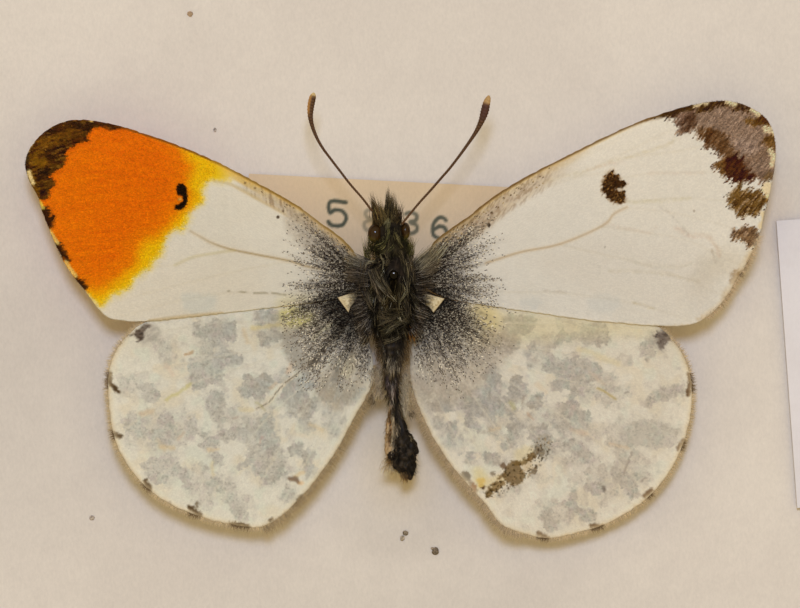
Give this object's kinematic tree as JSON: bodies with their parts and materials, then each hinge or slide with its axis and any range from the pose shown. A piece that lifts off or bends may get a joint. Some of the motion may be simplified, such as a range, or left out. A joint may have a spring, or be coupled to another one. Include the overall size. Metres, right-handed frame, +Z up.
{
  "type": "insect collection drawer",
  "caption": "Shallow dovetailed wooden drawer lined with cork and cream paper, holding a set butterfly with spread wings pinned over a small label, beside a blank card.",
  "frame": {"origin": "on the underside of the base panel, straight below the insect pin", "axes": "+Z up, +Y from the knobbed front towards the drawer's back and the insect's head, +X towards the insect's white forewing"},
  "size_m": [0.156, 0.1433, 0.0285],
  "materials": {
    "mahogany": "satin",
    "base_wood": "matte",
    "cork": "matte",
    "lining_paper": "matte",
    "knob_wood": "satin",
    "brass": "satin",
    "card_paper": "matte",
    "black_enamel": "gloss",
    "label_paper": "matte",
    "white_card": "matte",
    "dark_hair": "matte",
    "dark_skin": "matte",
    "antenna": "satin",
    "orange_wing": "matte",
    "white_wing": "matte",
    "mottled_wing": "matte"
  },
  "bodies": {
    "root": {"drawer_front": "mahogany", "drawer_back": "mahogany", "drawer_side_left": "mahogany", "drawer_side_right": "mahogany", "base_panel": "base_wood", "cork_sheet": "cork", "paper_lining": "lining_paper", "knob_left": "knob_wood", "knob_right": "knob_wood", "card_frame": "brass", "card_frame_pin_left": "brass", "card_frame_pin_right": "brass", "front_card": "card_paper", "data_label": "label_paper", "blank_card": "white_card", "insect_pin": "black_enamel", "thorax": "dark_hair", "head": "dark_hair", "abdomen": "dark_skin", "forewing_left": "orange_wing", "forewing_right": "white_wing", "hindwing_left": "mottled_wing", "hindwing_right": "mottled_wing", "antenna_left": "antenna", "antenna_right": "antenna"}
  },
  "joints": []
}
